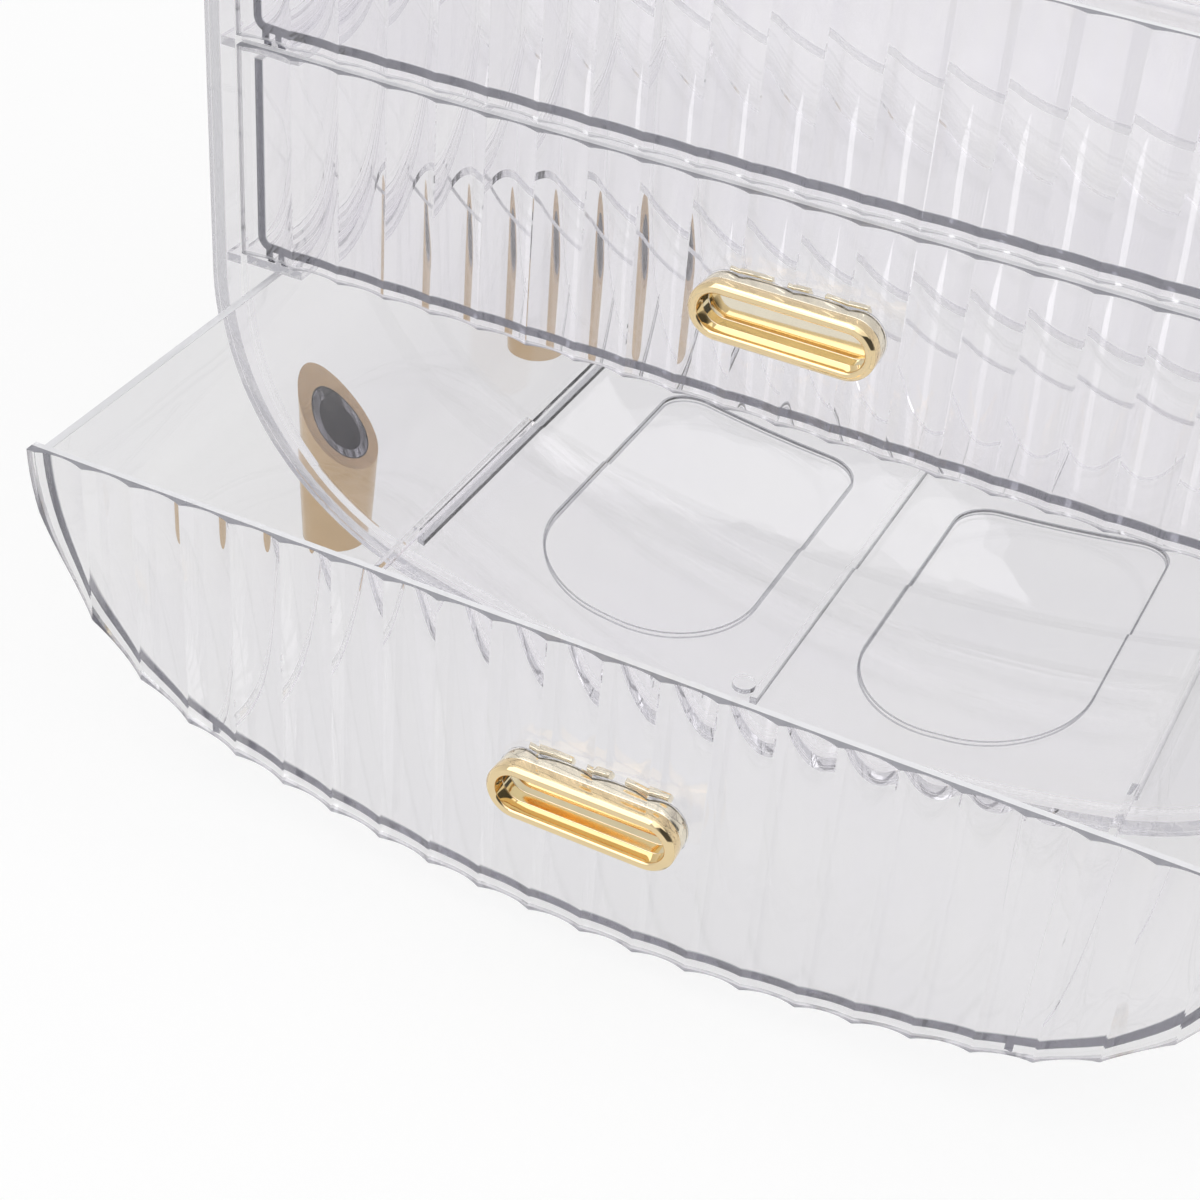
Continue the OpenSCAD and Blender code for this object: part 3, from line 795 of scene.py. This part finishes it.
class ORGANIZER_OT_studio(bpy.types.Operator):
    """Set up the camera, the floor, the lamps and the room"""

    bl_idname = "organizer.studio"
    bl_label = "Studio"

    def execute(self, context):
        studio = settings()[2]
        self.camera(studio)
        self.floor(studio)
        self.room(studio)
        self.lamps(studio)
        context.scene.view_settings.view_transform = "Standard"
        cycles = context.scene.cycles
        cycles.max_bounces = cycles.transmission_bounces = cycles.glossy_bounces = LIGHT_BOUNCES
        return {"FINISHED"}

    def camera(self, studio):
        """A camera at the photograph's place, turned by azimuth, elevation and roll."""
        az, el, roll = studio.azimuth, studio.elevation, studio.roll
        back = Vector((math.sin(az) * math.cos(el), -math.cos(az) * math.cos(el), math.sin(el)))
        right = (-back).cross(Vector((0, 0, 1))).normalized()
        up = right.cross(-back)
        turned_right = right * math.cos(roll) + up * math.sin(roll)
        turned_up = up * math.cos(roll) - right * math.sin(roll)
        bpy.ops.object.camera_add()
        camera = bpy.context.object
        camera.name = "camera"
        turn = Matrix((turned_right, turned_up, back)).transposed()
        camera.matrix_world = Matrix.Translation(studio.eye) @ turn.to_4x4()
        camera.data.sensor_width = SENSOR_MM
        camera.data.lens = studio.focal_pixels * SENSOR_MM / PICTURE_SIDE
        camera.data.clip_start = CLIP_NEAR
        camera.data.clip_end = CLIP_FAR
        bpy.context.scene.camera = camera

    def floor(self, studio):
        """A pale floor that camera, gloss and clear plastic see as white, with a soft shadow."""
        bpy.ops.mesh.primitive_plane_add(size=FLOOR_SIDE)
        ground = bpy.context.object
        ground.name = "ground"
        made, tree, out = new_material("ground_paper")
        plain = tree.nodes.new("ShaderNodeBsdfDiffuse")
        plain.inputs["Color"].default_value = (*studio.ground, 1)
        white = tree.nodes.new("ShaderNodeEmission")
        whiteness = spread(tree, self.camera_ray(tree), studio.paper, 1, 0, 1)
        tree.links.new(whiteness, white.inputs["Strength"])
        coords = tree.nodes.new("ShaderNodeTexCoord")
        away = tree.nodes.new("ShaderNodeVectorMath")
        away.operation = "LENGTH"
        tree.links.new(coords.outputs["Object"], away.inputs[0])
        fade = spread(tree, away.outputs["Value"], 1 - studio.shadow, 1, SHADOW_NEAR, SHADOW_FAR)
        share = product(tree, self.seen(tree), fade)
        surface = blend_shader(tree, share, plain.outputs["BSDF"], white.outputs["Emission"])
        tree.links.new(surface, out.inputs["Surface"])
        ground.data.materials.append(made)

    def camera_ray(self, tree):
        """1 for the camera's own rays, else 0."""
        return tree.nodes.new("ShaderNodeLightPath").outputs["Is Camera Ray"]

    def seen(self, tree):
        """1 for rays from the camera, from gloss and through clear plastic, else 0."""
        path = tree.nodes.new("ShaderNodeLightPath")
        total = path.outputs["Is Camera Ray"]
        for name in ("Is Glossy Ray", "Is Transmission Ray"):
            total = calculate(tree, "MAXIMUM", total, path.outputs[name])
        return total

    def room(self, studio):
        """White behind the object, a dim room over it for gloss, and an even fill light."""
        world = bpy.data.worlds.new("room")
        bpy.context.scene.world = world
        world.use_nodes = True
        tree = world.node_tree
        tree.nodes.clear()
        out = tree.nodes.new("ShaderNodeOutputWorld")
        coords = tree.nodes.new("ShaderNodeTexCoord")
        split = tree.nodes.new("ShaderNodeSeparateXYZ")
        tree.links.new(coords.outputs["Generated"], split.inputs["Vector"])
        paper = [studio.paper] * 3
        walls = tone(tree, split.outputs["Z"], paper, studio.room, 0, ROOM_WALL_TOP)
        mirrored = self.background(tree)
        tree.links.new(self.darkened(tree, coords, walls, studio), mirrored.inputs["Color"])
        fill = self.background(tree, studio.fill)
        around = blend_shader(
            tree, self.seen(tree), fill.outputs["Background"], mirrored.outputs["Background"]
        )
        backdrop = self.background(tree).outputs["Background"]
        surface = blend_shader(tree, self.camera_ray(tree), around, backdrop)
        tree.links.new(surface, out.inputs["Surface"])

    def background(self, tree, strength=1):
        """A white background node of a strength."""
        made = tree.nodes.new("ShaderNodeBackground")
        made.inputs["Color"].default_value = (1, 1, 1, 1)
        made.inputs["Strength"].default_value = strength
        return made

    def darkened(self, tree, coords, colour, studio):
        """The room's colour with a soft dark patch round the dark side."""
        towards = tree.nodes.new("ShaderNodeVectorMath")
        towards.operation = "DOT_PRODUCT"
        towards.inputs[1].default_value = Vector(studio.dark_side).normalized()
        tree.links.new(coords.outputs["Generated"], towards.inputs[0])
        cosine = towards.outputs["Value"]
        share = spread(tree, cosine, 0, 1 - DARK_SIDE_LEVEL, DARK_SIDE_START, DARK_SIDE_FULL)
        return blend_colour(tree, share, colour, (0, 0, 0))

    def lamps(self, studio):
        """A softbox overhead, one at the front left and a strip whose image lies on the floor."""
        for name, power, place, size, turn in (
            ("softbox_top", studio.key, TOP_PLACE, TOP_SIZE, 0),
            ("softbox_left", studio.side, LEFT_PLACE, LEFT_SIZE, 0),
            ("strip_back", studio.strip, STRIP_PLACE, STRIP_SIZE, STRIP_TURN),
        ):
            bpy.ops.object.light_add(type="AREA", location=place)
            lamp = bpy.context.object
            lamp.name = name
            lamp.data.shape = "RECTANGLE"
            lamp.data.size, lamp.data.size_y = size
            lamp.data.energy = power
            aim = Vector(LAMP_AIM) - Vector(place)
            aimed = aim.to_track_quat("-Z", "Y").to_matrix()
            lamp.rotation_euler = (aimed @ Matrix.Rotation(turn, 3, "Z")).to_euler()


class ORGANIZER_PT_panel(bpy.types.Panel):
    """The organizer's settings and steps"""

    bl_idname = "ORGANIZER_PT_panel"
    bl_label = "Fluted Organizer"
    bl_space_type = "VIEW_3D"
    bl_region_type = "UI"
    bl_category = "Organizer"

    def draw(self, context):
        for group in settings():
            box = self.layout.box()
            for name in group.bl_rna.properties.keys():
                if name not in ("rna_type", "name"):
                    box.prop(group, name)
        for operator in OPERATORS:
            self.layout.operator(operator.bl_idname)


GROUPS = (
    ("organizer_plastic", PlasticSettings),
    ("organizer_gold", GoldSettings),
    ("organizer_studio", StudioSettings),
)
OPERATORS = (
    ORGANIZER_OT_studio,
    ORGANIZER_OT_clear_case,
    ORGANIZER_OT_trays,
    ORGANIZER_OT_fluted_fronts,
    ORGANIZER_OT_pulls,
    ORGANIZER_OT_feet,
)


def register():
    """Registers the settings, the operators and the panel."""
    for name, group in GROUPS:
        bpy.utils.register_class(group)
        setattr(bpy.types.Scene, name, bpy.props.PointerProperty(type=group))
    for operator in OPERATORS:
        bpy.utils.register_class(operator)
    bpy.utils.register_class(ORGANIZER_PT_panel)


def unregister():
    """Takes them out again."""
    bpy.utils.unregister_class(ORGANIZER_PT_panel)
    for operator in reversed(OPERATORS):
        bpy.utils.unregister_class(operator)
    for name, group in reversed(GROUPS):
        delattr(bpy.types.Scene, name)
        bpy.utils.unregister_class(group)


def main():
    """Makes everything in order."""
    register()
    bpy.ops.organizer.studio()
    bpy.ops.organizer.clear_case()
    bpy.ops.organizer.trays()
    bpy.ops.organizer.fluted_fronts()
    bpy.ops.organizer.pulls()
    bpy.ops.organizer.feet()


if __name__ == "__main__":
    main()
